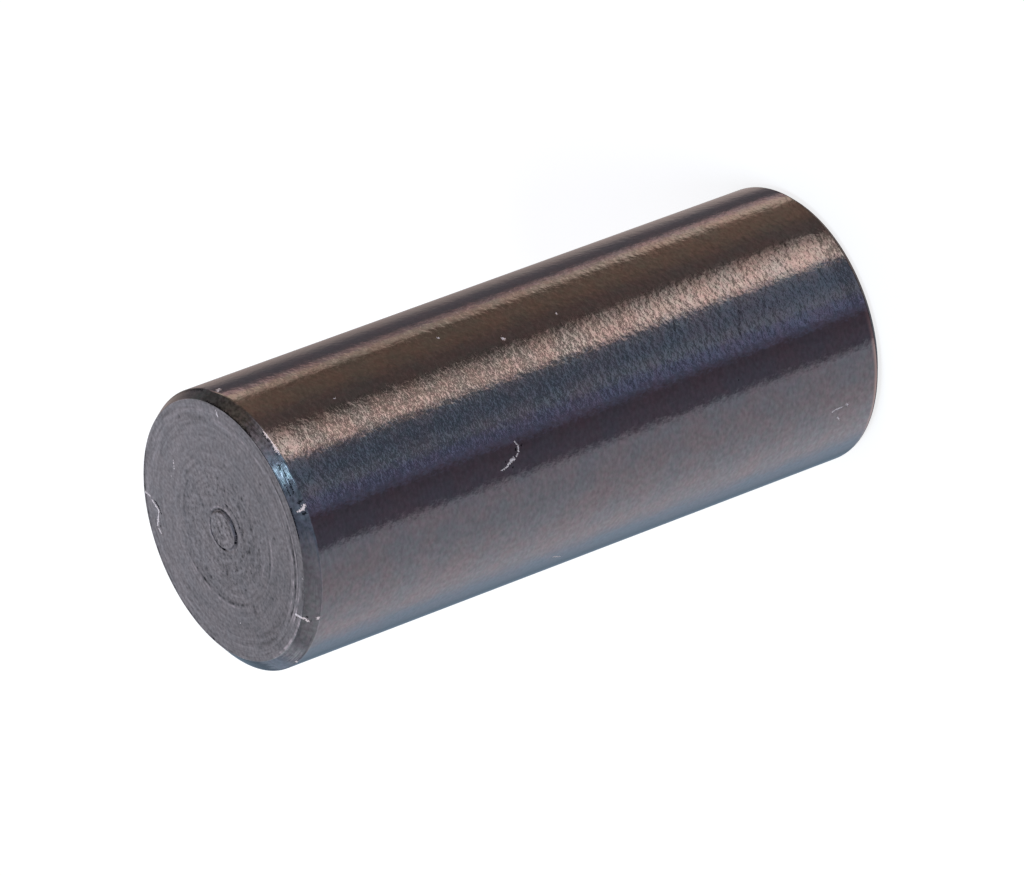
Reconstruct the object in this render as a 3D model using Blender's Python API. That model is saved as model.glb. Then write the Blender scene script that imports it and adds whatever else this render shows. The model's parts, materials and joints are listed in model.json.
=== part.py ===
# Hinge pin: a short straight pin, turned from steel bar, parted off, ground on its
# outside and blackened. It is one solid. Units are metres. The axis of the pin is Z and
# the origin is the middle of its lower end, so the pin stands on that end. The upper end
# is the one that was parted off: it keeps the parting nib, the groove torn round the nib
# and the shallow step where the parting tool slowed down.

import math

import bmesh
import bpy
from mathutils import Vector

MM = 0.001

# Driving dimensions of the whole pin
PIN_DIAMETER = 8.0 * MM
PIN_LENGTH = 19.7 * MM  # end face to end face, without the nib
CHAMFER_WIDTH = 0.3 * MM  # measured across the end face
CHAMFER_ANGLE = math.radians(45.0)  # between the chamfer and the end face
CORNER_RADIUS = 0.04 * MM  # left on both corners of a chamfer by tumbling

# Driving dimensions of the parted end
STEP_DIAMETER = 3.9 * MM
STEP_DEPTH = 0.015 * MM
STEP_SLOPE = 0.03 * MM  # width over which the step falls
NIB_DIAMETER = 1.12 * MM
NIB_HEIGHT = 0.03 * MM  # above the end face
NIB_RADIUS = 0.015 * MM
GROOVE_WIDTH = 0.1 * MM
GROOVE_DEPTH = 0.03 * MM  # below the floor of the step
GROOVE_RADIUS = 0.01 * MM

# Fineness of the round surfaces
SEGMENTS = 160
CORNER_STEPS = 3
MERGE_DISTANCE = 0.0001 * MM

# Finish: black oxide on ground steel
STEEL_COLOUR = (0.17, 0.17, 0.18, 1.0)
STEEL_METALLIC = 1.0
STEEL_ROUGHNESS = 0.35
SHARP_ANGLE = math.radians(30.0)


def rounded_corner(before, corner, after, radius):
    """Points of the arc that takes a corner's place. It stays inside the corner's own two sides."""
    to_before = before - corner
    to_after = after - corner
    half_angle = to_before.angle(to_after) / 2
    room = min(to_before.length, to_after.length) / 2
    setback = min(radius / math.tan(half_angle), room)
    radius = setback * math.tan(half_angle)
    inwards = (to_before.normalized() + to_after.normalized()).normalized()
    centre = corner + inwards * (radius / math.sin(half_angle))
    start = corner + to_before.normalized() * setback - centre
    turn = start.angle_signed(corner + to_after.normalized() * setback - centre)
    points = []
    for step in range(CORNER_STEPS + 1):
        angle = -turn * step / CORNER_STEPS
        turned = Vector(
            (
                start.x * math.cos(angle) - start.y * math.sin(angle),
                start.x * math.sin(angle) + start.y * math.cos(angle),
            )
        )
        points.append(centre + turned)
    return points


def rounded_profile(corners):
    """A profile of (radius, height) points from (point, corner radius) pairs."""
    points = [corners[0][0]]
    for index in range(1, len(corners) - 1):
        corner, radius = corners[index]
        if radius:
            points += rounded_corner(corners[index - 1][0], corner, corners[index + 1][0], radius)
        else:
            points.append(corner)
    points.append(corners[-1][0])
    return points


def parted_end(face):
    """Corners of the parted end's face, from the axis outwards: nib, torn groove, then the step."""
    nib = NIB_DIAMETER / 2
    step = STEP_DIAMETER / 2
    floor = face - STEP_DEPTH
    return [
        (Vector((0.0, face + NIB_HEIGHT)), 0.0),
        (Vector((nib, face + NIB_HEIGHT)), NIB_RADIUS),
        (Vector((nib + GROOVE_WIDTH / 2, floor - GROOVE_DEPTH)), GROOVE_RADIUS),
        (Vector((nib + GROOVE_WIDTH, floor)), 0.0),
        (Vector((step - STEP_SLOPE, floor)), 0.0),
        (Vector((step, face)), 0.0),
    ]


def chamfer(face, inwards):
    """Corners of one chamfer, from its end face to the ground outside. Inwards is 1 or -1 along Z."""
    outside = PIN_DIAMETER / 2
    depth = CHAMFER_WIDTH * math.tan(CHAMFER_ANGLE)
    return [
        (Vector((outside - CHAMFER_WIDTH, face)), CORNER_RADIUS),
        (Vector((outside, face + inwards * depth)), CORNER_RADIUS),
    ]


def pin_profile():
    """Half section of the pin, from the middle of the upper end, down the outside, to the origin."""
    corners = parted_end(PIN_LENGTH)
    corners += chamfer(PIN_LENGTH, -1)
    corners += reversed(chamfer(0.0, 1))
    corners.append((Vector((0.0, 0.0)), 0.0))
    return rounded_profile(corners)


def turned_mesh(name, profile):
    """Mesh made by turning a profile once about Z, closed on the axis at both ends."""
    shape = bmesh.new()
    points = [shape.verts.new((point.x, 0.0, point.y)) for point in profile]
    edges = [shape.edges.new(pair) for pair in zip(points, points[1:])]
    bmesh.ops.spin(
        shape,
        geom=points + edges,
        axis=(0.0, 0.0, 1.0),
        cent=(0.0, 0.0, 0.0),
        angle=2 * math.pi,
        steps=SEGMENTS,
        use_merge=True,
    )
    bmesh.ops.remove_doubles(shape, verts=shape.verts, dist=MERGE_DISTANCE)
    bmesh.ops.recalc_face_normals(shape, faces=shape.faces)
    mesh = bpy.data.meshes.new(name)
    shape.to_mesh(mesh)
    shape.free()
    mesh.shade_smooth()
    mesh.set_sharp_from_angle(angle=SHARP_ANGLE)
    return mesh


def blackened_steel():
    material = bpy.data.materials.new("blackened_steel")
    material.use_nodes = True
    surface = material.node_tree.nodes["Principled BSDF"]
    surface.inputs["Base Color"].default_value = STEEL_COLOUR
    surface.inputs["Metallic"].default_value = STEEL_METALLIC
    surface.inputs["Roughness"].default_value = STEEL_ROUGHNESS
    material.diffuse_color = STEEL_COLOUR
    return material


def clear_scene():
    for thing in list(bpy.data.objects):
        bpy.data.objects.remove(thing, do_unlink=True)


def main():
    clear_scene()
    mesh = turned_mesh("hinge_pin", pin_profile())
    mesh.materials.append(blackened_steel())
    pin = bpy.data.objects.new("hinge_pin", mesh)
    bpy.context.scene.collection.objects.link(pin)


main()
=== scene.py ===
import json
import math

import bpy
import numpy as np
from mathutils import Matrix, Vector


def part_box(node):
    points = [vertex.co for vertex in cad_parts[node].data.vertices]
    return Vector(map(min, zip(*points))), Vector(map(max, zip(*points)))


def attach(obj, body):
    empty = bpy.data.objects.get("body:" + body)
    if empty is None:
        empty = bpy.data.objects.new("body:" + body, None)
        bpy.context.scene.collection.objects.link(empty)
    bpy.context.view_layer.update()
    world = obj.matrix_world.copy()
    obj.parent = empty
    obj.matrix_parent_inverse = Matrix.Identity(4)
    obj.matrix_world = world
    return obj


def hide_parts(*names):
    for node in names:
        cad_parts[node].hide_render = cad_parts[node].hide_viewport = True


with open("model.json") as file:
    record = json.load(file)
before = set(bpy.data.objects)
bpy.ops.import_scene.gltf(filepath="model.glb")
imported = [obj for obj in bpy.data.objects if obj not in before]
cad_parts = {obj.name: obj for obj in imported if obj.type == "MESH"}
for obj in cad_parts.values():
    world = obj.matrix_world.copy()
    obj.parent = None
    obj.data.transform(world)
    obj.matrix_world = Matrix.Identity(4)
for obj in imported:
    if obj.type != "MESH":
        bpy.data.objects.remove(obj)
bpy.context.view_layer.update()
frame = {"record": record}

# A blackened steel hinge pin that stands on its plain end, in metres, with +Z up its axis.
# The camera is turned about its own line of sight, so the pin lies across the picture.
mm = 0.001
pinLow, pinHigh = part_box("hinge_pin")
pinRadius = (pinHigh.x - pinLow.x) / 2
endHeights = {mount["name"]: mount["pos_m"][2] for mount in frame["record"]["mounts"]}
pinTop = endHeights["parted_end"]
print("frame loaded, pin", round(2 * pinRadius / mm, 3), "x", round(pinTop / mm, 3), "mm")


# Camera: a long lens that looks down on the pin
cameraView = {
    "imageWidth": 1024,
    "focalPixels": 9414.5,
    "elevation": 31.952,  # degrees above the floor
    "roll": 110.431,  # degrees, which lays the pin's axis down to the left
    "distance": 258.71 * mm,
    "aimAcross": -0.293 * mm,
    "aimHeight": 10.097 * mm,
    "clip": (0.01, 10.0),
}


def addCamera(view):
    elevation = math.radians(view["elevation"])
    back = Vector((0.0, -math.cos(elevation), math.sin(elevation)))
    upright = Vector((0.0, math.sin(elevation), math.cos(elevation)))
    right = upright.cross(back)
    turned = Matrix.Rotation(-math.radians(view["roll"]), 3, back)
    axes = Matrix((turned @ right, turned @ upright, back)).transposed()
    lens = bpy.data.cameras.new("camera")
    lens.lens = lens.sensor_width * view["focalPixels"] / view["imageWidth"]
    lens.clip_start, lens.clip_end = view["clip"]
    camera = bpy.data.objects.new("camera", lens)
    bpy.context.scene.collection.objects.link(camera)
    aim = Vector((view["aimAcross"], 0.0, view["aimHeight"]))
    camera.matrix_world = Matrix.Translation(aim + back * view["distance"]) @ axes.to_4x4()
    bpy.context.scene.camera = camera


addCamera(cameraView)
print("camera set")


# A socket that can be used in sums. An expression on wires adds its own Math nodes.
class Wire:
    def __init__(self, board, socket):
        self.board = board
        self.socket = socket

    def sum(self, operation, *terms):
        return self.board.node("ShaderNodeMath", {"operation": operation}, dict(enumerate(terms)))

    def __add__(self, other):
        return self.sum("ADD", self, other)

    def __radd__(self, other):
        return self.sum("ADD", other, self)

    def __sub__(self, other):
        return self.sum("SUBTRACT", self, other)

    def __rsub__(self, other):
        return self.sum("SUBTRACT", other, self)

    def __mul__(self, other):
        return self.sum("MULTIPLY", self, other)

    def __rmul__(self, other):
        return self.sum("MULTIPLY", other, self)

    def __truediv__(self, other):
        return self.sum("DIVIDE", self, other)

    def lesser(self, other):
        return self.sum("MINIMUM", self, other)

    def between(self, low, high):
        return self.sum("MAXIMUM", self.sum("MINIMUM", self, high), low)

    def ramp(self, low, high):
        # 0 below low, 1 above high, and a smooth step between
        settings = {"interpolation_type": "SMOOTHSTEP"}
        return self.board.node("ShaderNodeMapRange", settings, {0: self, 1: low, 2: high})


# A node tree with one way to add any node
class Board:
    def __init__(self, tree):
        self.tree = tree
        tree.nodes.clear()

    def node(self, kind, settings=None, values=None, output=0):
        made = self.tree.nodes.new(kind)
        for name, value in (settings or {}).items():
            if name == "stops":
                self.setStops(made.color_ramp, value)
            else:
                setattr(made, name, value)
        for name, value in (values or {}).items():
            if isinstance(value, Wire):
                self.tree.links.new(value.socket, made.inputs[name])
            else:
                made.inputs[name].default_value = value
        return Wire(self, made.outputs[output] if len(made.outputs) else None)

    def setStops(self, ramp, stops):
        for place, colour in stops[1:-1]:
            ramp.elements.new(place)
        for element, (place, colour) in zip(ramp.elements, stops):
            element.position = place
            element.color = (*colour, 1.0)

    def mix(self, share, first, second):
        settings = {"data_type": "RGBA"}
        return self.node("ShaderNodeMix", settings, {0: share, 6: first, 7: second}, output=2)

    def vector(self, operation, *terms, scale=None):
        values = dict(enumerate(terms))
        if scale is not None:
            values["Scale"] = scale
        return self.node("ShaderNodeVectorMath", {"operation": operation}, values)

    def split(self, vector):
        parts = self.node("ShaderNodeSeparateXYZ", None, {0: vector}).socket.node
        return [Wire(self, output) for output in parts.outputs]

    def dot(self, first, second):
        return self.node("ShaderNodeVectorMath", {"operation": "DOT_PRODUCT"}, {0: first, 1: second}, "Value")

    def distance(self, first, second):
        return self.node("ShaderNodeVectorMath", {"operation": "DISTANCE"}, {0: first, 1: second}, "Value")

    def noise(self, place, size, detail):
        # about 0.5 on average, in lumps of about the size
        return self.node("ShaderNodeTexNoise", None, {"Vector": place, "Scale": 1 / size, "Detail": detail})


# Studio. The pin's ground side mirrors a ring of cards and lamps that stand below the horizon,
# and its chamfers mirror the ring above it. Each card is (first angle, last angle, colour), by
# compass from the camera's side, with a soft change between neighbours.
studio = {
    "lowRing": {
        "farCard": (-174, -158, (0.21, 0.28, 0.36)),
        "farEdge": (-136, -136, (0.575, 0.68, 0.84)),
        "windowFar": (-118, -104, (1.04, 0.985, 1.07)),
        "windowMiddle": (-65, -65, (0.755, 0.715, 0.79)),
        "windowNear": (-42, -42, (0.69, 0.66, 0.75)),
        "leftGap": (-35, -28, (0.25, 0.22, 0.285)),
        "darkestGap": (-14, -14, (0.205, 0.16, 0.205)),
        "indigoCard": (-4, 0, (0.35, 0.36, 0.56)),
        "blueCard": (8, 8, (0.44, 0.46, 0.56)),
        "tealCard": (18, 24, (0.305, 0.345, 0.455)),
        "tealEdge": (34, 34, (0.40, 0.41, 0.49)),
        "warmLamp": (41.5, 45, (2.2, 1.67, 1.44)),
        "warmFall": (53, 53, (1.7, 1.3, 1.11)),
        "brownGap": (66, 76, (0.31, 0.23, 0.208)),
        "brownCard": (90, 106, (0.465, 0.318, 0.24)),
        "goldLamp": (111.5, 114.5, (1.38, 1.02, 0.8)),
        "pinkEdge": (120, 120, (0.95, 0.65, 0.63)),
        "rightGap": (127, 138, (0.22, 0.19, 0.21)),
        "greyCard": (151, 165, (0.46, 0.375, 0.355)),
    },
    "lowBehind": (0.38, 0.35, 0.35),
    "highRing": {
        "paleLeft": (-148, -148, (0.60, 0.72, 0.92)),
        "blueLeft": (-140, -140, (0.49, 0.50, 0.60)),
        "leftEdge": (-132, -132, (0.27, 0.27, 0.33)),
        "windowTop": (-121, -101, (0.70, 0.68, 0.73)),
        "windowTopNear": (-86, -69, (0.575, 0.545, 0.615)),
        "leftWall": (-48, -48, (0.48, 0.49, 0.60)),
        "dimWall": (-26, -26, (0.27, 0.33, 0.45)),
        "blueWall": (-13, 13, (0.37, 0.43, 0.56)),
        "coldPane": (37, 37, (0.46, 0.66, 0.92)),
        "coldPaneEdge": (48, 48, (0.60, 0.72, 0.95)),
        "paleWall": (59, 59, (0.66, 0.62, 0.72)),
        "warmWall": (69, 69, (0.66, 0.58, 0.61)),
        "darkEdge": (78, 78, (0.35, 0.30, 0.33)),
        "brownWall": (86, 100, (0.28, 0.225, 0.19)),
        "darkWall": (114, 121, (0.20, 0.18, 0.175)),
        "greyEdge": (130, 130, (0.25, 0.25, 0.25)),
        "greyWall": (138, 138, (0.40, 0.35, 0.33)),
        "pinkPane": (148, 148, (1.2, 0.92, 0.90)),
    },
    "highBehind": (0.60, 0.58, 0.62),
    "brightest": 2.4,  # a ramp's colours end at 1, so they are a share of this
    "backPanel": (1.57, 1.57, 1.68, 1.0),  # what the parted face mirrors
    "backPanelAway": (0.5, 0.8),
    "backPanelRise": (0.2, 0.4),
    "ceiling": (0.14, 0.145, 0.16, 1.0),
    "ceilingRise": (0.93, 1.0),
    "ceilingLean": (0.35, 0.25),  # how far the ceiling comes down to the right and behind
    "background": (1.0, 1.0, 1.0, 1.0),
    "horizonSoft": 0.03,
    # The lamps below the horizon have level slats across them. Each stretch is (first angle,
    # last angle, how far the slats change the light).
    "slatPitch": 6.0,  # degrees of height
    "slatStretches": ((-6, 34, 0.6), (34, 66, 0.85), (66, 102, 0.15), (102, 126, 0.35), (140, 170, 0.12)),
    "slatFade": 6.0,
}


def ringStops(cards, behind, brightest):
    # a ramp's stops for a whole turn, which starts and ends behind the pin
    stops = []
    for first, last, colour in cards.values():
        share = [part / brightest for part in colour]
        stops += [(angle / 360 + 0.5, share) for angle in sorted({first, last})]
    end = [part / brightest for part in behind]
    return [(0.0, end), *stops, (1.0, end)]


def addStudio(values):
    world = bpy.data.worlds.new("studio")
    world.use_nodes = True
    bpy.context.scene.world = world
    board = Board(world.node_tree)
    across, away, rise = board.split(board.node("ShaderNodeTexCoord", output=0))
    compass = board.node("ShaderNodeMath", {"operation": "ARCTAN2"}, {0: across, 1: away * -1.0})
    turn = compass / (2 * math.pi) + 0.5
    brightest = values["brightest"]
    lowStops = ringStops(values["lowRing"], values["lowBehind"], brightest)
    highStops = ringStops(values["highRing"], values["highBehind"], brightest)
    low = board.node("ShaderNodeValToRGB", {"stops": lowStops}, {0: turn})
    high = board.node("ShaderNodeValToRGB", {"stops": highStops}, {0: turn})
    height = board.node("ShaderNodeMath", {"operation": "ARCSINE"}, {0: rise}) * (180 / math.pi)
    phase = height * (2 * math.pi / values["slatPitch"])
    wave = board.node("ShaderNodeMath", {"operation": "SINE"}, {0: phase})
    here = compass * (180 / math.pi)
    fade = values["slatFade"] / 2
    slats = None
    for first, last, share in values["slatStretches"]:
        inside = here.ramp(first - fade, first + fade) * (1 - here.ramp(last - fade, last + fade))
        slats = inside * share if slats is None else slats + inside * share
    low = board.vector("SCALE", low, scale=(slats * wave + 1.0) * brightest)
    high = board.vector("SCALE", high, scale=brightest)
    panel = away.ramp(*values["backPanelAway"]) * rise.ramp(*values["backPanelRise"])
    high = board.mix(panel, high, values["backPanel"])
    leanAcross, leanAway = values["ceilingLean"]
    overhead = (rise + across * leanAcross + away * leanAway).ramp(*values["ceilingRise"])
    high = board.mix(overhead, high, values["ceiling"])
    light = board.mix(rise.ramp(-values["horizonSoft"], values["horizonSoft"]), low, high)
    seen = board.node("ShaderNodeLightPath", output=0)
    shown = board.mix(seen, light, values["background"])
    surface = board.node("ShaderNodeBackground", None, {"Color": shown})
    board.node("ShaderNodeOutputWorld", None, {"Surface": surface})
    bpy.context.scene.view_settings.view_transform = "Standard"


addStudio(studio)
print("studio light set")


# Lamps. The key lamp gives the floor its shadow and is hidden from the steel, the glint lamp
# shows as a cold glint on the near chamfer, and the edge lamp as a bright line on its ridge.
lamps = {
    "keyLamp": {
        "compass": -25,  # degrees from the camera's side
        "elevation": 60,
        "distance": 0.5,
        "shape": "DISK",
        "size": (0.14, 0.14),  # width, then height
        "power": 0.8,
        "colour": (0.80, 0.93, 1.0),
        "inSteel": False,
    },
    "glintLamp": {
        "compass": 34,
        "elevation": 55,
        "distance": 0.5,
        "shape": "RECTANGLE",
        "size": (0.1, 0.04),
        "power": 0.062,
        "colour": (0.58, 0.84, 1.0),
        "inSteel": True,
    },
    "edgeLamp": {
        "compass": 54,
        "elevation": 20,
        "distance": 0.5,
        "shape": "RECTANGLE",
        "size": (0.12, 0.10),
        "power": 0.38,
        "colour": (1.0, 0.83, 0.76),
        "inSteel": True,
    },
}


def addLamp(name, values):
    compass = math.radians(values["compass"])
    elevation = math.radians(values["elevation"])
    flat = math.cos(elevation)
    towards = Vector((math.sin(compass) * flat, -math.cos(compass) * flat, math.sin(elevation)))
    light = bpy.data.lights.new(name, "AREA")
    light.shape = values["shape"]
    light.size, light.size_y = values["size"]
    light.energy = values["power"]
    light.color = values["colour"]
    lamp = bpy.data.objects.new(name, light)
    bpy.context.scene.collection.objects.link(lamp)
    lamp.location = towards * values["distance"] + Vector((0.0, 0.0, pinTop / 2))
    lamp.rotation_euler = towards.to_track_quat("Z", "Y").to_euler()
    lamp.visible_camera = False
    lamp.visible_glossy = values["inSteel"]


for name, values in lamps.items():
    addLamp(name, values)
print("lamps set")


# Floor: pale and plain, seen by the camera as white with the pin's soft shadow on it. It is
# clear from below, so that the plain end can be seen.
floorLook = {
    "halfSize": 3.0,
    "height": -0.01 * mm,  # just under the plain end, so that the two don't share a plane
    "glow": 0.78,
    "colour": (0.36, 0.36, 0.36, 1.0),
}


def addFloor(values):
    half = values["halfSize"]
    height = values["height"]
    corners = [(-half, -half, height), (half, -half, height), (half, half, height), (-half, half, height)]
    mesh = bpy.data.meshes.new("floor")
    mesh.from_pydata(corners, [], [(0, 1, 2, 3)])
    floor = bpy.data.objects.new("floor", mesh)
    bpy.context.scene.collection.objects.link(floor)
    paint = bpy.data.materials.new("floorPaint")
    paint.use_nodes = True
    board = Board(paint.node_tree)
    matt = board.node("ShaderNodeBsdfDiffuse", None, {"Color": values["colour"]})
    seen = board.node("ShaderNodeLightPath", output=0)
    glow = board.node("ShaderNodeEmission", None, {"Strength": seen * values["glow"]})
    above = board.node("ShaderNodeAddShader", None, {0: matt, 1: glow})
    fromBelow = board.node("ShaderNodeNewGeometry", output="Backfacing")
    clear = board.node("ShaderNodeBsdfTransparent")
    surface = board.node("ShaderNodeMixShader", None, {0: fromBelow, 1: above, 2: clear})
    board.node("ShaderNodeOutputMaterial", None, {"Surface": surface})
    mesh.materials.append(paint)
    floor.visible_glossy = False  # the pin's side mirrors the studio's low ring, not the floor
    floor.visible_shadow = False


addFloor(floorLook)
print("floor laid")


# The pin's surface: a section carried round the axis. Both turned ends lie a little off the
# centre of the ground outside, so each chamfer is narrower on one side.
pinShape = {
    "columns": 288,
    "topChamfer": (0.29 * mm, 0.3 * mm),  # width across the end face, then depth along the pin
    "bottomChamfer": (0.26 * mm, 0.275 * mm),
    "faceCorner": 0.04 * mm,  # radius of the corner beside the end face
    "sideCorner": 0.09 * mm,  # radius of the corner beside the ground side
    "faceMargin": 0.04 * mm,  # from the last row of an end face to its chamfer's slope
    "cornerRows": 6,
    "chamferRows": 5,
    "bodyRows": 24,
    "bottomRows": 8,
    "topShift": (0.085 * mm, 0.029 * mm),
    "bottomShift": (0.1 * mm, 0.0),
    "bottomLean": ((1, 0.23, -0.79),),  # the lower chamfer is deeper on the left and behind
}
# The parted face, from the middle outwards. A wobble is (waves round the pin, share, phase).
faceRelief = {
    "nibRadius": 0.55 * mm,
    "nibHeight": 0.03 * mm,
    "nibSlope": 0.035 * mm,
    "nibWobble": ((2, 0.03, 0.4), (3, 0.025, 2.1), (7, 0.012, 5.0)),
    "grooveAway": 0.05 * mm,  # from the edge of the nib to the middle of the groove
    "grooveWidth": 0.03 * mm,
    "grooveDepth": 0.022 * mm,
    "grooveWobble": ((1, 0.3, 3.4), (5, 0.35, 1.0), (11, 0.3, 4.2)),
    "grooveLeast": 0.1,  # share of its depth that is left where it is shallowest
    "tornAway": 0.19 * mm,
    "tornWidth": 0.07 * mm,
    "tornHeight": 0.006 * mm,
    "tornWobble": ((6, 0.5, 0.3), (13, 0.5, 2.2), (19, 0.4, 4.4)),
    "stepRadius": 1.97 * mm,
    "stepWidth": 0.08 * mm,
    "stepDepth": 0.009 * mm,
    "stepWobble": ((1, 0.085, 4.35), (4, 0.012, 1.3), (9, 0.006, 3.3), (23, 0.005, 1.9), (41, 0.004, 0.6)),
    "ringPitch": 0.115 * mm,
    "ringHeight": 0.0006 * mm,
    "ringStart": (0.7 * mm, 1.0 * mm),
    "lipRadius": 3.42 * mm,
    "lipWidth": 0.035 * mm,
    "lipHeight": 0.0025 * mm,
    "rowPitches": ((0.0, 0.05), (0.42, 0.01), (0.9, 0.02), (1.7, 0.015), (2.3, 0.03)),
}


def smoothStep(value, low, high):
    # 0 below low, 1 above high, with 3t^2 - 2t^3 between
    share = np.clip((value - low) / (high - low), 0, 1)
    return share * share * (3 - 2 * share)


def hump(value, centre, width):
    # a bell: e to the minus square of the distance from its centre in widths
    away = (value - centre) / width
    return np.exp(-away * away)


def wobble(angle, waves):
    # 1 plus a sum of sines of whole multiples of the angle
    return 1 + sum(share * np.sin(count * angle + phase) for count, share, phase in waves)


def reliefHeight(radius, angle, values):
    # a flat nib with a smooth flank, a groove of uneven depth at its foot, torn metal round that,
    # a shallow step down inside the step's radius, turning rings and a low lip near the rim
    nibEdge = values["nibRadius"] * wobble(angle, values["nibWobble"])
    onNib = 1 - smoothStep(radius, nibEdge - values["nibSlope"], nibEdge)
    stepEdge = values["stepRadius"] * wobble(angle, values["stepWobble"])
    inStep = 1 - smoothStep(radius, stepEdge - values["stepWidth"], stepEdge)
    groove = hump(radius, nibEdge + values["grooveAway"], values["grooveWidth"]) * values["grooveDepth"]
    groove = groove * np.maximum(wobble(angle, values["grooveWobble"]), values["grooveLeast"])
    torn = hump(radius, nibEdge + values["tornAway"], values["tornWidth"])
    torn = torn * values["tornHeight"] * (wobble(angle, values["tornWobble"]) - 1)
    rings = values["ringHeight"] * np.sin(2 * np.pi * radius / values["ringPitch"])
    lip = values["lipHeight"] * hump(radius, values["lipRadius"], values["lipWidth"])
    height = onNib * values["nibHeight"] - inStep * (1 - onNib) * values["stepDepth"]
    return height + torn - groove + (rings + lip) * smoothStep(radius, *values["ringStart"])


def arcShare(angle, first, last, soft):
    # 1 between two angles in degrees, 0 beyond them, with a soft change at each end
    turn = np.degrees(angle) - first
    length = last - first
    turn = (turn + 180 - length / 2) % 360 - 180 + length / 2
    begun = smoothStep(turn, -soft / 2, soft / 2)
    return begun * (1 - smoothStep(turn, length - soft / 2, length + soft / 2))


# Painted shade and painted highlights along the parted face's rings, step, nib and rim, with dark
# oxide in the nib's groove as well: darker below 0 and paler above it. Each is a ring's stretch:
# radius and width in millimetres, first and last angle from +X in degrees, and shade.
faceShades = {
    # the step's dark and pale lines are painted shade and painted highlights
    "stepStainAway": (2.12, 0.04, 96, 176, -0.45),
    "stepPolishAway": (2.21, 0.035, 100, 165, 0.35),
    "stepStainRight": (1.82, 0.04, 26, 62, -0.35),
    "stepStainNear": (2.15, 0.035, -142, -115, -0.4),
    "stepPolishNear": (1.86, 0.04, -142, -126, 0.4),
    "stepPolishNearOuter": (2.24, 0.03, -135, -108, 0.35),
    "innerArcNear": (1.45, 0.035, -118, -70, -0.3),
    # the nib's groove: painted shade, over dark oxide in the groove
    "nibStain": (0.60, 0.028, -75, -20, -1.6),
    "nibStainNear": (0.585, 0.024, -150, -75, -1.1),
    "nibStainAway": (0.59, 0.024, 92, 150, -1.1),
    "nibStainRight": (0.60, 0.026, -20, 30, -0.6),
    "tornStainRight": (0.86, 0.026, -95, -40, -0.6),
    "nibPolishRight": (0.68, 0.028, -70, 25, 0.4),
    "nibPolishAway": (0.67, 0.03, 40, 120, 0.3),
    # the rim's pale lines and its edge are painted highlights, its dark lines painted shade
    "rimLineOuter": (3.46, 0.025, -150, -130, 0.8),
    "rimLineInner": (3.2, 0.025, -148, -112, 0.55),
    "rimLineNear": (3.38, 0.018, -150, -75, 0.5),
    "rimStainNear": (3.44, 0.018, -140, -70, -0.3),
    "rimLineThin": (3.12, 0.016, -140, -80, 0.25),
    "rimStainThin": (3.06, 0.018, -145, -85, -0.25),
    "rimLineRight": (3.44, 0.03, -20, -4, 0.35),
    "rimLineFar": (3.28, 0.03, -66, -24, 0.3),
    "rimEdge": (3.67, 0.035, -174, -142, 0.95),
    "rimStain": (3.31, 0.03, -150, -100, -0.5),
    "rimStainAway": (3.67, 0.04, 40, 150, -0.5),
}
shadeEnds = {
    "fade": 14,  # degrees over which a stretch fades at each end
    "waves": (23, 61),  # how often its strength rises and falls round the pin
    "waveShare": 0.4,
}
facePits = {  # place across and away from the axis, then size, in millimetres
    "pits": (
        (0.44, -1.22, 0.07), (0.99, -0.79, 0.05), (-1.4, -0.73, 0.05), (-2.2, -1.22, 0.05),
        (-1.72, 0.0, 0.05), (-1.08, 0.58, 0.09), (-1.14, 0.64, 0.06), (0.845, 0.55, 0.06),
        (-0.78, -0.88, 0.08), (-0.74, -0.76, 0.05), (-0.45, -0.84, 0.05), (-0.3, -0.86, 0.05),
        (-0.16, -0.94, 0.06), (-0.1, -0.85, 0.04), (-0.7, -2.4, 0.05), (-0.1, -1.72, 0.05),
        (-2.35, -0.1, 0.08), (-2.2, -0.12, 0.05), (1.85, 0.72, 0.06), (-0.8, 1.55, 0.07),
        (-1.05, 1.5, 0.06), (-1.05, 1.86, 0.08), (0.8, -2.7, 0.05), (3.3, 0.1, 0.05),
        (-0.22, -1.4, 0.06), (0.55, -0.62, 0.05), (0.62, -0.45, 0.04),
    ),
    "depth": 0.014 * mm,
    "shade": -0.6,
}


def faceShade(radius, angle, shades, pits):
    # the sum of the rings' stretches, each a bell across the ring, and of the pits, each a round
    # bell about its own place
    shade = 0 * radius
    few, many = shadeEnds["waves"]
    share = shadeEnds["waveShare"]
    for ring, width, first, last, depth in shades.values():
        waves = ((few, share, ring), (many, share, 2 * ring))
        stretch = arcShare(angle, first, last, shadeEnds["fade"]) * wobble(angle, waves)
        shade += depth * hump(radius, ring * mm, width * mm) * stretch
    return shade + pits["shade"] * pitShare(radius, angle, pits)


def pitShare(radius, angle, pits):
    # 1 in the middle of a pit and 0 clear of all of them
    across = radius * np.cos(angle)
    away = radius * np.sin(angle)
    share = 0 * radius
    for pitAcross, pitAway, size in pits["pits"]:
        reach = np.hypot(across - pitAcross * mm, away - pitAway * mm) / (size * mm)
        share = np.maximum(share, np.exp(-reach * reach))
    return share


def cornerArc(centreRadius, centreHeight, radius, first, last, rows):
    # points at the radius from a centre, from the first angle to the last
    angles = np.radians(np.linspace(first, last, rows))
    return np.stack([centreRadius + radius * np.cos(angles), centreHeight + radius * np.sin(angles)], axis=1)


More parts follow.
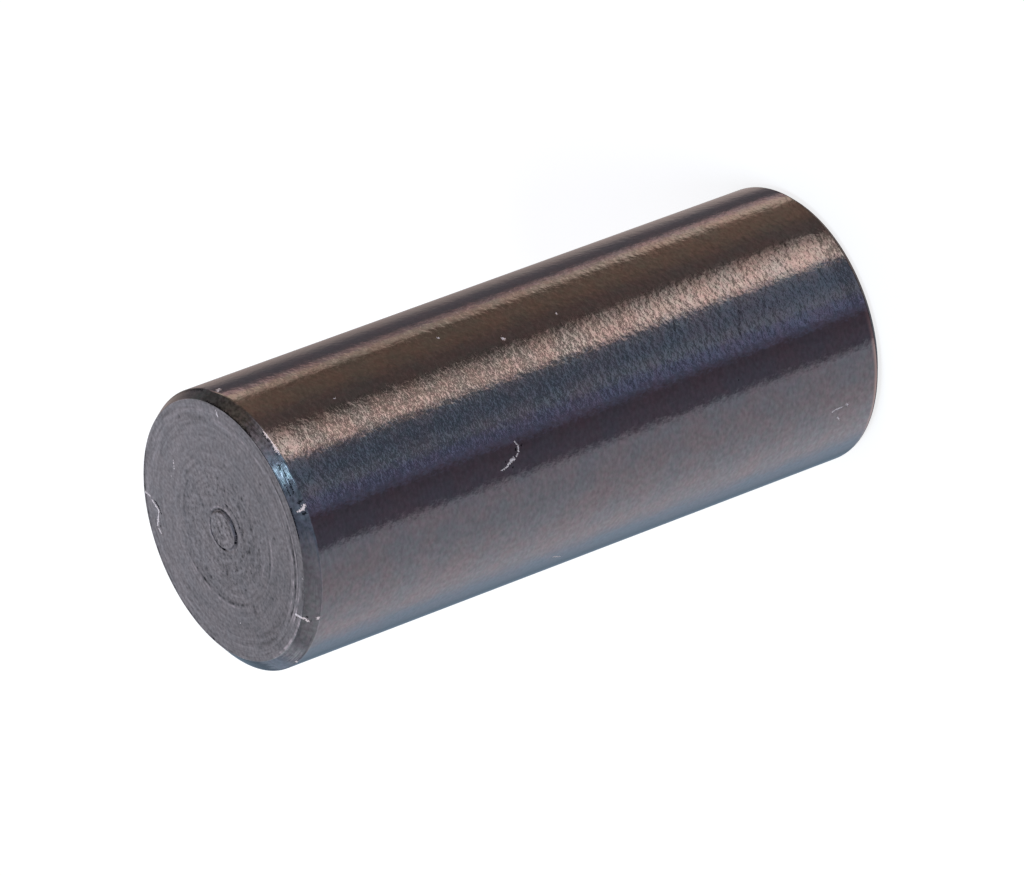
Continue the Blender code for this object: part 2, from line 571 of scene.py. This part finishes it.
def chamferSection(width, depth, values):
    # radius and height against the end face, from the face's edge to the ground outside:
    # a round corner, a straight slope and a second round corner
    near = values["faceCorner"]
    far = values["sideCorner"]
    slope = math.degrees(math.atan2(width, depth))
    faceSetback = near * math.tan(math.radians(90 - slope) / 2)
    sideSetback = far * math.tan(math.radians(slope) / 2)
    inner = cornerArc(pinRadius - width - faceSetback, -near, near, 90, slope, values["cornerRows"])
    outer = cornerArc(pinRadius - far, -depth - sideSetback, far, slope, 0, values["cornerRows"])
    share = np.linspace(0, 1, values["chamferRows"] + 2)[1:-1, None]
    straight = inner[-1] * (1 - share) + outer[0] * share
    return np.concatenate([inner, straight, outer])


def endSection(width, depth, faceRadii, values):
    # rows of (radius, height against the end face, end share): the share is 1 on the face and
    # falls to 0 along the chamfer
    chamfer = chamferSection(width, depth, values)
    share = np.clip((pinRadius - chamfer[:, 0]) / width, 0, 1)
    face = np.column_stack([faceRadii, 0 * faceRadii, 0 * faceRadii + 1])
    return np.concatenate([face, np.column_stack([chamfer, share])])


def faceRows(values, edge):
    # row radii at each zone's own pitch, from just beside the axis to just inside the edge
    zones = [(start * mm, pitch * mm) for start, pitch in values["rowPitches"]]
    ends = [start for start, pitch in zones[1:]] + [edge]
    rows = [np.arange(start, end, pitch) for (start, pitch), end in zip(zones, ends)]
    return np.concatenate(rows)[1:]


def turnedSurface(values, relief):
    # Each section point goes round the axis, and its centre moves by its end's shift. The lower
    # chamfer's heights, all under twice its depth, are drawn out where it is deeper.
    width, depth = values["topChamfer"]
    top = endSection(width, depth, faceRows(relief, pinRadius - width - values["faceMargin"]), values)
    width, depth = values["bottomChamfer"]
    bottomRadii = np.linspace(0, pinRadius - width - values["faceMargin"], values["bottomRows"])[1:]
    bottom = endSection(width, depth, bottomRadii, values)[::-1] * (1, -1, -1)
    top[:, 1] += pinTop
    heights = np.linspace(top[-1, 1], bottom[0, 1], values["bodyRows"])[1:-1]
    side = np.column_stack([0 * heights + pinRadius, heights, 0 * heights])
    section = np.concatenate([top, side, bottom])
    rows = len(section)
    columns = values["columns"]
    angles = np.linspace(0, 2 * np.pi, columns, endpoint=False)
    radius, angle = np.meshgrid(section[:, 0], angles, indexing="ij")
    height = section[:, 1:2] + 0 * radius
    height = np.where(height < 2 * depth, height * wobble(angle, values["bottomLean"]), height)
    onTop = section[:, 2] >= 1
    height[onTop] += reliefHeight(radius[onTop], angle[onTop], relief)
    height[onTop] -= facePits["depth"] * pitShare(radius[onTop], angle[onTop], facePits)
    shade = 0 * radius
    shade[onTop] = faceShade(radius[onTop], angle[onTop], faceShades, facePits)
    share = section[:, 2, None, None]
    shift = np.maximum(share, 0) * values["topShift"] + np.maximum(-share, 0) * values["bottomShift"]
    points = np.stack([radius * np.cos(angle), radius * np.sin(angle), height], axis=2)
    points[..., :2] += shift
    flat = points.reshape(-1, 3)
    poles = [[*values["topShift"], pinTop + relief["nibHeight"]], [*values["bottomShift"], 0.0]]
    row, column = np.meshgrid(np.arange(rows - 1), np.arange(columns), indexing="ij")
    after = (column + 1) % columns
    here = row * columns
    below = here + columns
    quads = np.stack([here + column, below + column, below + after, here + after], axis=2)
    column = np.arange(columns)
    after = (column + 1) % columns
    topFan = np.stack([column, after, 0 * column + len(flat)], axis=1)
    last = (rows - 1) * columns
    bottomFan = np.stack([last + after, last + column, 0 * column + len(flat) + 1], axis=1)
    faces = quads.reshape(-1, 4).tolist() + topFan.tolist() + bottomFan.tolist()
    middle = np.abs(section[:-1, 2] + section[1:, 2]) / 2
    finish = np.select([middle >= 1, middle > 0], [0, 1], 2)  # face, chamfer or ground outside
    finish = np.concatenate([np.repeat(finish, columns), np.zeros(2 * columns, int)])
    return np.concatenate([flat, poles]), faces, finish, np.append(shade.ravel(), [0, 0])


# Marks, in millimetres. A point on the ground side is (compass angle in degrees, depth below
# the end face), one on the upper chamfer is (compass angle, share from the face's edge to the
# ground side) and one on the end face is (x, y). Each mark is its width, then its points.
sideMarks = {
    "scratchTop": (0.03, ((-5.9, 7.16), (-7.2, 7.2))),
    "scratchUpper": (0.042, ((-7.8, 7.22), (-9.9, 7.19))),
    "scratchNeck": (0.03, ((-10.6, 7.15), (-11.4, 7.08))),
    "scratchBelly": (0.07, ((-12.0, 6.97), (-12.7, 6.86))),
    "scratchLower": (0.04, ((-13.0, 6.83), (-13.9, 6.74), (-14.5, 6.62))),
    "scratchEnd": (0.03, ((-14.6, 6.6), (-14.6, 6.52))),
    "farScratch": (0.05, ((-42.7, 17.86), (-42.0, 18.0), (-42.2, 18.2))),
    "farScratchTop": (0.065, ((-41.3, 18.36), (-42.0, 18.38))),
    "farScratchFoot": (0.045, ((-46.8, 18.09), (-48.5, 18.17))),
    "dotUpper": (0.085, ((35.6, 8.41), (35.0, 8.41))),
    "dotMiddle": (0.06, ((47.4, 6.83),)),
    "dotFar": (0.06, ((38.0, 10.37),)),
    "dotNear": (0.05, ((36.1, 2.78),)),
    "rimNickTop": (0.085, ((65.4, 0.36), (67.0, 0.47))),
    "lowSmear": (0.05, ((-71.0, 8.9), (-68.6, 8.6))),
}
# a pit, painted shadows beside the scratches and nick, and painted shade on the ground side
sideStainsAndShade = {
    "scratchShadowTop": (0.05, ((-6.5, 7.28),)),
    "scratchShadow": (0.06, ((-8.1, 7.33),)),
    "scratchShadowInner": (0.04, ((-8.6, 7.14), (-9.2, 7.12))),
    "scratchShadowLow": (0.045, ((-12.0, 6.71),)),
    "scratchShadowFoot": (0.05, ((-15.2, 6.9),)),
    "pitMiddle": (0.035, ((-14.0, 14.7),)),
    # painted shade along the top of the rim
    "topRim": (0.16, ((106.0, 0.4), (97.0, 0.6), (90.0, 0.38), (84.0, 0.32), (75.0, 0.3))),
    "topRimBack": (0.12, ((98.0, 0.7), (97.0, 1.5))),
    "nickShadow": (0.05, ((-46.8, 0.26),)),
}
sideStreaks = {  # faint dark strokes across the far half
    "streakFar": (0.05, ((31.7, 18.02), (25.7, 17.82))),
    "streakMiddle": (0.05, ((27.8, 16.48), (24.1, 16.3))),
    "streakBlue": (0.07, ((11.6, 15.47), (6.6, 15.31))),
    "streakBlueLow": (0.06, ((4.8, 15.24), (2.6, 15.2))),
    "streakTeal": (0.05, ((16.5, 13.4), (13.0, 13.3))),
    "streakWarm": (0.05, ((30.0, 12.1), (26.5, 12.0))),
}
rimMarks = {
    "middleNick": (0.08, ((-0.9, 0.92), (-2.1, 0.78))),
    "middleNickTail": (0.055, ((-2.4, 0.7), (-2.8, 0.44))),
    "crossNick": (0.06, ((-51.7, 0.0), (-51.6, 0.25), (-52.4, 0.39))),
    "crossDot": (0.07, ((-49.2, 0.9), (-48.7, 0.97))),
    "lowDot": (0.06, ((-79.6, 0.93),)),
    # painted highlights along the ridge, drawn as pale marks
    "ridgeGlint": (0.024, ((33.0, 0.93), (30.0, 0.95), (26.0, 0.94), (21.5, 0.95))),
    "ridgeGlintFar": (0.055, ((31.6, 0.93), (30.0, 0.94))),
    "ridgeGlintNear": (0.075, ((25.6, 0.93), (23.2, 0.92))),
}
# stains and painted shade on the upper chamfer
rimStainsAndShade = {
    # painted shade along the corner beside the end face
    "faceEdgeTop": (0.06, ((34.0, 0.04), (42.0, 0.02), (50.0, 0.03), (58.0, 0.06), (66.5, 0.1))),
    "faceEdgeNear": (0.05, ((-1.0, 0.04), (-7.0, 0.03), (-14.0, 0.03))),
    # painted shade beside the ridge's painted highlights
    "underRidge": (0.03, ((33.0, 0.82), (30.5, 0.8), (28.0, 0.81))),
    "underRidgeLow": (0.035, ((25.0, 0.78), (21.5, 0.8))),
    "blotchUpper": (0.06, ((17.0, 0.5), (15.6, 0.46))),
    "blotchMiddle": (0.035, ((14.6, 0.6), (12.4, 0.64))),
    "blotchLower": (0.035, ((10.6, 0.66), (5.0, 0.6))),
    "blotchInner": (0.025, ((9.0, 0.3), (4.0, 0.34))),
    # painted shade along the ridge at the top
    "ridgeTop": (0.1, ((104.0, 0.93), (94.0, 0.93), (84.0, 0.94), (74.0, 0.97))),
    "nickShadowUpper": (0.075, ((1.0, 0.8), (0.6, 0.68))),
    "nickShadowLower": (0.07, ((-3.6, 0.84), (-4.0, 0.7))),
    "crossShadowUpper": (0.06, ((-50.4, 0.3),)),
    "crossShadowLower": (0.05, ((-51.6, 0.55),)),
}
faceMarks = {
    "rimScratchTop": (0.05, ((1.8, 3.22), (1.67, 3.09))),
    "rimScratchUpper": (0.06, ((1.55, 3.06), (1.38, 2.99), (1.2, 2.92))),
    "rimScratchMiddle": (0.055, ((1.2, 2.92), (1.04, 3.08), (0.85, 3.25))),
    "rimScratchEnd": (0.065, ((0.72, 3.25), (0.62, 3.23))),
    "crossNick": (0.065, ((-2.7, -2.04), (-2.79, -2.19), (-2.87, -2.34))),
    "dashRight": (0.035, ((3.18, -1.84), (3.0, -1.81))),
    "dashLow": (0.022, ((2.12, 1.34), (2.36, 1.22))),
    "dotLow": (0.03, ((1.97, 1.62),)),
    "dotLeft": (0.025, ((-2.42, 0.9),)),
    "dotNear": (0.045, ((-1.86, -3.03),)),
}
# painted shadows beside the end face's scratches
faceShadows = {
    "rimScratchShadow": (0.05, ((1.5, 2.93), (1.3, 2.85), (1.12, 2.84))),
    "rimScratchShadowEnd": (0.045, ((0.8, 3.12),)),
    "crossShadow": (0.045, ((-2.78, -2.02),)),
}
markEdge = {
    "noise": (0.04 * mm, 1.0),  # size of its lumps, then detail
    "ragged": 5.0,  # how far they move the edge, in half widths of the mark
    "markSoft": 0.5,  # how soft the edge is, in half widths too
    "stainSoft": 0.4,
    "streakSoft": 0.9,
}


def sidePoint(angle, depth):
    turn = math.radians(angle)
    return (pinRadius * math.sin(turn), -pinRadius * math.cos(turn), pinTop - depth * mm)


def rimPoint(angle, share):
    # on the straight slope between the face's edge and the ground side
    width, depth = pinShape["topChamfer"]
    shiftAcross, shiftAway = pinShape["topShift"]
    turn = math.radians(angle)
    radius = pinRadius - width * (1 - share)
    across = radius * math.sin(turn) + shiftAcross * (1 - share)
    away = shiftAway * (1 - share) - radius * math.cos(turn)
    return (across, away, pinTop - depth * share)


def facePoint(across, away):
    return (across * mm, away * mm, pinTop)


def markShare(board, place, groups, soft):
    # 1 on a mark and 0 away from it, with a ragged edge. The distance to a stretch is that to the
    # foot of the perpendicular, held between its two ends, and is counted in half widths.
    nearest = None
    for marks, toPoint in groups:
        for width, corners in marks.values():
            points = [Vector(toPoint(*corner)) for corner in corners]
            for start, end in zip(points, points[1:] or points):
                away = board.distance(place, tuple(start))
                if start != end:
                    along = end - start
                    reach = board.vector("SUBTRACT", place, tuple(start))
                    share = board.dot(reach, tuple(along / along.length_squared)).between(0.0, 1.0)
                    away = board.distance(reach, board.vector("SCALE", tuple(along), scale=share))
                away = away / (width / 2 * mm)
                nearest = away if nearest is None else nearest.lesser(away)
    nearest = nearest + (board.noise(place, *markEdge["noise"]) - 0.5) * markEdge["ragged"]
    return 1 - nearest.ramp(1 - soft, 1 + soft)


# Finishes. All three surfaces are the same black oxide, over ground, turned and parted steel.
# A noise is the size of its lumps, then detail. Where it has two sizes, the first is along the
# pin and the second round it.
groundFinish = {
    "darkOxide": (0.162, 0.170, 0.179, 1.0),
    "brownOxide": (0.180, 0.166, 0.170, 1.0),
    "bareSteel": (0.66, 0.60, 0.59, 1.0),
    "stain": (0.02, 0.02, 0.022, 1.0),
    "mottle": (0.9 * mm, 3.0),
    "mottleSpread": (0.35, 0.65),
    "speck": (0.1 * mm, 0.15 * mm, 1.0),
    "speckShare": 0.6,
    "roughness": 0.07,
    "roughnessSpread": 0.04,
    "markRoughness": 0.5,
    "stroke": (0.16 * mm, 0.18 * mm, 2.0),  # left by the grinding wheel
    "strokeHeight": 0.0056 * mm,
    "patch": (0.5 * mm, 0.8 * mm, 1.0),
    "patchHeight": 0.004 * mm,
    "markDepth": 0.008 * mm,
    "haloReach": 2.4,  # how far the painted shade round a mark reaches, in half widths
    "haloShade": 0.45,
    "streakShade": 0.5,
    "wornEdge": (0.42, 0.32, 0.28, 1.0),  # a thin painted highlight beside the lower chamfer, to the left
    "wornEdgeHeight": (0.28 * mm, 0.42 * mm),
    "wornEdgeAcross": (-0.25 * pinRadius, 0.0),
}
tints = {  # the oxide's fine change of hue
    "noise": (0.15 * mm, 2.0),
    "spread": (0.3, 0.7),
    "green": (0.955, 1.02, 0.995, 1.0),
    "pink": (1.035, 0.98, 1.005, 1.0),
}
chamferFinish = {
    "oxide": (0.172, 0.173, 0.180, 1.0),
    "plainOxide": (0.075, 0.068, 0.068, 1.0),  # on the plain end
    "plainRoughness": 0.4,
    "bareSteel": (0.80, 0.67, 0.63, 1.0),
    "stain": (0.03, 0.032, 0.035, 1.0),
    "roughness": 0.13,
    "markRoughness": 0.35,
    "partedHeight": (0.4 * pinTop, 0.6 * pinTop),  # between the two ends' colours
    "rightAcross": (-0.25 * pinRadius, 0.0),
    "speck": (0.08 * mm, 0.13 * mm, 2.0),
    "speckShare": 0.9,
    "dirtTowards": (0.5, -0.87, 0.0),  # where the chamfer is dirtiest
    "dirtReach": (0.6 * pinRadius, 0.92 * pinRadius),
    "dirtShare": 1.5,
    "ridgeShade": 0.35,  # how much paler the left of it is beside the ground side
    "line": (0.055 * mm, 1.3 * mm, 3.0),  # left by the turning tool
    "lineHeight": 0.009 * mm,
}
faceFinish = {
    "oxide": (0.182, 0.180, 0.190, 1.0),
    "paleOxide": (0.208, 0.198, 0.206, 1.0),
    "bareSteel": (0.72, 0.65, 0.65, 1.0),
    "roughness": 0.55,
    "stain": (0.012, 0.013, 0.017, 1.0),
    "polish": (0.42, 0.38, 0.40, 1.0),
    "speck": (0.11 * mm, 2.0),
    "speckShare": 1.2,
    "lump": (0.14 * mm, 2.0),
    "lumpShare": 1.1,
    "lumpReach": (1.5 * mm, 2.4 * mm),
    "pit": (0.1 * mm, 1.0),
    "pitSpread": (0.6, 0.7),
    "pitShade": 0.35,
    "nibLumpShare": 1.8,
    "nibReach": (0.45 * mm, 0.55 * mm),
    "ringPitch": 0.1 * mm,
    "ringReach": 1.2 * mm,
    "ringDetail": 2.0,
    "ringShare": 0.75,
    "rimReach": (2.9 * mm, 3.3 * mm),
    "rimRingShare": 0.6,
    "toneLean": (33.0, 22.0, 0.0),  # painted light: how much paler the face is to the right and behind, a metre
    "shadeBreak": (0.14 * mm, 2.0),
    "shadeBreakShare": 4.0,
    "shadeBreakMost": 2.0,
    "speckHeight": 0.02 * mm,
    "mottle": (0.5 * mm, 3.0),
    "mottleSpread": (0.3, 0.7),
    "markDepth": 0.012 * mm,
}


def newMaterial(name):
    material = bpy.data.materials.new(name)
    material.use_nodes = True
    board = Board(material.node_tree)
    place = board.node("ShaderNodeTexCoord", output="Object")
    return material, board, place


def finishMaterial(board, colour, paleMark, roughness, height):
    # the height is in metres, and a pale mark does not mirror: broken bare steel, and along the upper
    # chamfer's ridge a painted highlight
    normal = board.node("ShaderNodeBump", None, {"Strength": 1.0, "Distance": 1.0, "Height": height})
    values = {"Base Color": colour, "Metallic": 1 - paleMark, "Roughness": roughness, "Normal": normal}
    surface = board.node("ShaderNodeBsdfPrincipled", None, values)
    board.node("ShaderNodeOutputMaterial", None, {"Surface": surface})


def strokes(board, place, along, around, detail):
    # noise whose lumps have one size along the pin and another round it
    drawn = board.vector("MULTIPLY", place, (1 / around, 1 / around, 1 / along))
    return board.noise(drawn, 1.0, detail)


def addTint(board, place, colour):
    # the colour times a tint that moves between green and pink
    hue = board.noise(place, *tints["noise"]).ramp(*tints["spread"])
    return board.vector("MULTIPLY", colour, board.mix(hue, tints["green"], tints["pink"]))


def addMarks(board, colour, values, paleMark, darkened):
    # stains and painted shade first, then the pale marks
    colour = board.mix(darkened, colour, values["stain"])
    return board.mix(paleMark, colour, values["bareSteel"])


def makeGroundSteel(values):
    material, board, place = newMaterial("groundSteel")
    marks = ((sideMarks, sidePoint), (rimMarks, rimPoint))
    paleMark = markShare(board, place, marks, markEdge["markSoft"])
    # painted shade round each mark on the ground side
    halo = markShare(board, place, ((sideMarks, sidePoint),), values["haloReach"])
    darkened = markShare(board, place, ((sideStainsAndShade, sidePoint),), markEdge["stainSoft"])
    streak = markShare(board, place, ((sideStreaks, sidePoint),), markEdge["streakSoft"])
    mottle = board.noise(place, *values["mottle"])
    fine = strokes(board, place, *values["stroke"])
    broad = strokes(board, place, *values["patch"])
    speck = strokes(board, place, *values["speck"])
    colour = board.mix(mottle.ramp(*values["mottleSpread"]), values["darkOxide"], values["brownOxide"])
    tone = 1 + (speck - 0.5) * values["speckShare"] - halo * values["haloShade"]
    tone = tone - streak * values["streakShade"]
    colour = board.vector("SCALE", addTint(board, place, colour), scale=tone)
    across, _, level = board.split(place)
    # a painted highlight along the lower chamfer's corner, on the left
    edgeLit = (1 - level.ramp(*values["wornEdgeHeight"])) * (1 - across.ramp(*values["wornEdgeAcross"]))
    colour = board.mix(edgeLit, colour, values["wornEdge"])
    colour = addMarks(board, colour, values, paleMark, darkened)
    roughness = mottle * values["roughnessSpread"] + values["roughness"]
    roughness = roughness + paleMark * (values["markRoughness"] - values["roughness"])
    height = fine * values["strokeHeight"] + broad * values["patchHeight"]
    height = height - paleMark * values["markDepth"]
    finishMaterial(board, colour, paleMark, roughness, height)
    return material


def makeChamferSteel(values):
    material, board, place = newMaterial("chamferSteel")
    lines = strokes(board, place, *values["line"])
    speck = strokes(board, place, *values["speck"])
    paleMark = markShare(board, place, ((rimMarks, rimPoint),), markEdge["markSoft"])
    darkened = markShare(board, place, ((rimStainsAndShade, rimPoint),), markEdge["stainSoft"])
    across, _, level = board.split(place)
    parted = level.ramp(*values["partedHeight"])
    right = across.ramp(*values["rightAcross"])
    colour = board.mix(parted, values["plainOxide"], values["oxide"])
    dirt = board.dot(place, values["dirtTowards"]).ramp(*values["dirtReach"])
    tone = 1 + (speck - 0.5) * (dirt * values["dirtShare"] + values["speckShare"])
    fall = ((pinTop - level) / pinShape["topChamfer"][1]).between(0.0, 1.0) - 0.5
    tone = tone + fall * (1 - right) * values["ridgeShade"]
    colour = board.vector("SCALE", addTint(board, place, colour), scale=tone)
    colour = addMarks(board, colour, values, paleMark, darkened)
    roughness = paleMark * (values["markRoughness"] - values["roughness"]) + values["roughness"]
    roughness = roughness + (1 - parted) * (values["plainRoughness"] - values["roughness"])
    finishMaterial(board, colour, paleMark, roughness, lines * values["lineHeight"])
    return material


def makeFaceSteel(values):
    material, board, place = newMaterial("faceSteel")
    paleMark = markShare(board, place, ((faceMarks, facePoint),), markEdge["markSoft"])
    darkened = markShare(board, place, ((faceShadows, facePoint),), markEdge["stainSoft"])
    mottle = board.noise(place, *values["mottle"])
    speck = board.noise(place, *values["speck"])
    lump = board.noise(place, *values["lump"])
    fromAxis = board.distance(place, (*pinShape["topShift"], pinTop))
    onNib = 1 - fromAxis.ramp(*values["nibReach"])
    inside = 1 - fromAxis.ramp(*values["lumpReach"])
    ringPlace = board.vector("SCALE", place, scale=1 / values["ringReach"])
    upwards = board.node("ShaderNodeCombineXYZ", None, {"Z": fromAxis / values["ringPitch"]})
    ring = board.noise(board.vector("ADD", ringPlace, upwards), 1.0, values["ringDetail"])
    ringShare = fromAxis.ramp(*values["rimReach"]) * values["rimRingShare"] + values["ringShare"]
    tone = 1 + (speck - 0.5) * values["speckShare"] + (ring - 0.5) * ringShare
    tone = tone + (lump - 0.5) * (onNib * values["nibLumpShare"] + inside * values["lumpShare"])
    pit = board.noise(place, *values["pit"]).ramp(*values["pitSpread"])
    # painted light: the face is paler to the right and behind
    tone = tone - pit * inside * values["pitShade"] + board.dot(place, values["toneLean"])
    broken = board.noise(place, *values["shadeBreak"])
    broken = ((broken - 0.5) * values["shadeBreakShare"] + 1).between(0.0, values["shadeBreakMost"])
    shade = board.node("ShaderNodeAttribute", {"attribute_name": "shade"}, output="Fac") * broken
    colour = board.mix(mottle.ramp(*values["mottleSpread"]), values["oxide"], values["paleOxide"])
    colour = board.vector("SCALE", colour, scale=tone)
    # the shade attribute: painted shade, with dark oxide in the nib's groove, below 0 and painted highlights
    # above it
    colour = board.mix((shade * -1.0).between(0.0, 1.0), colour, values["stain"])
    colour = board.mix(shade.between(0.0, 1.0), colour, values["polish"])
    colour = addMarks(board, colour, values, paleMark, darkened)
    height = speck * values["speckHeight"] - paleMark * values["markDepth"]
    finishMaterial(board, colour, paleMark, values["roughness"], height)
    return material


def addPin():
    places, faces, finish, shade = turnedSurface(pinShape, faceRelief)
    mesh = bpy.data.meshes.new("blackenedPin")
    mesh.from_pydata(places, [], faces)
    mesh.materials.append(makeFaceSteel(faceFinish))
    mesh.materials.append(makeChamferSteel(chamferFinish))
    mesh.materials.append(makeGroundSteel(groundFinish))
    mesh.polygons.foreach_set("material_index", finish.astype(np.int32))
    mesh.attributes.new("shade", "FLOAT", "POINT").data.foreach_set("value", shade.astype(np.float32))
    mesh.shade_smooth()
    mesh.update()
    pin = bpy.data.objects.new("blackenedPin", mesh)
    bpy.context.scene.collection.objects.link(pin)
    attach(pin, "root")
    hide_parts("hinge_pin")
    return len(finish)


print("pin made of", addPin(), "faces")
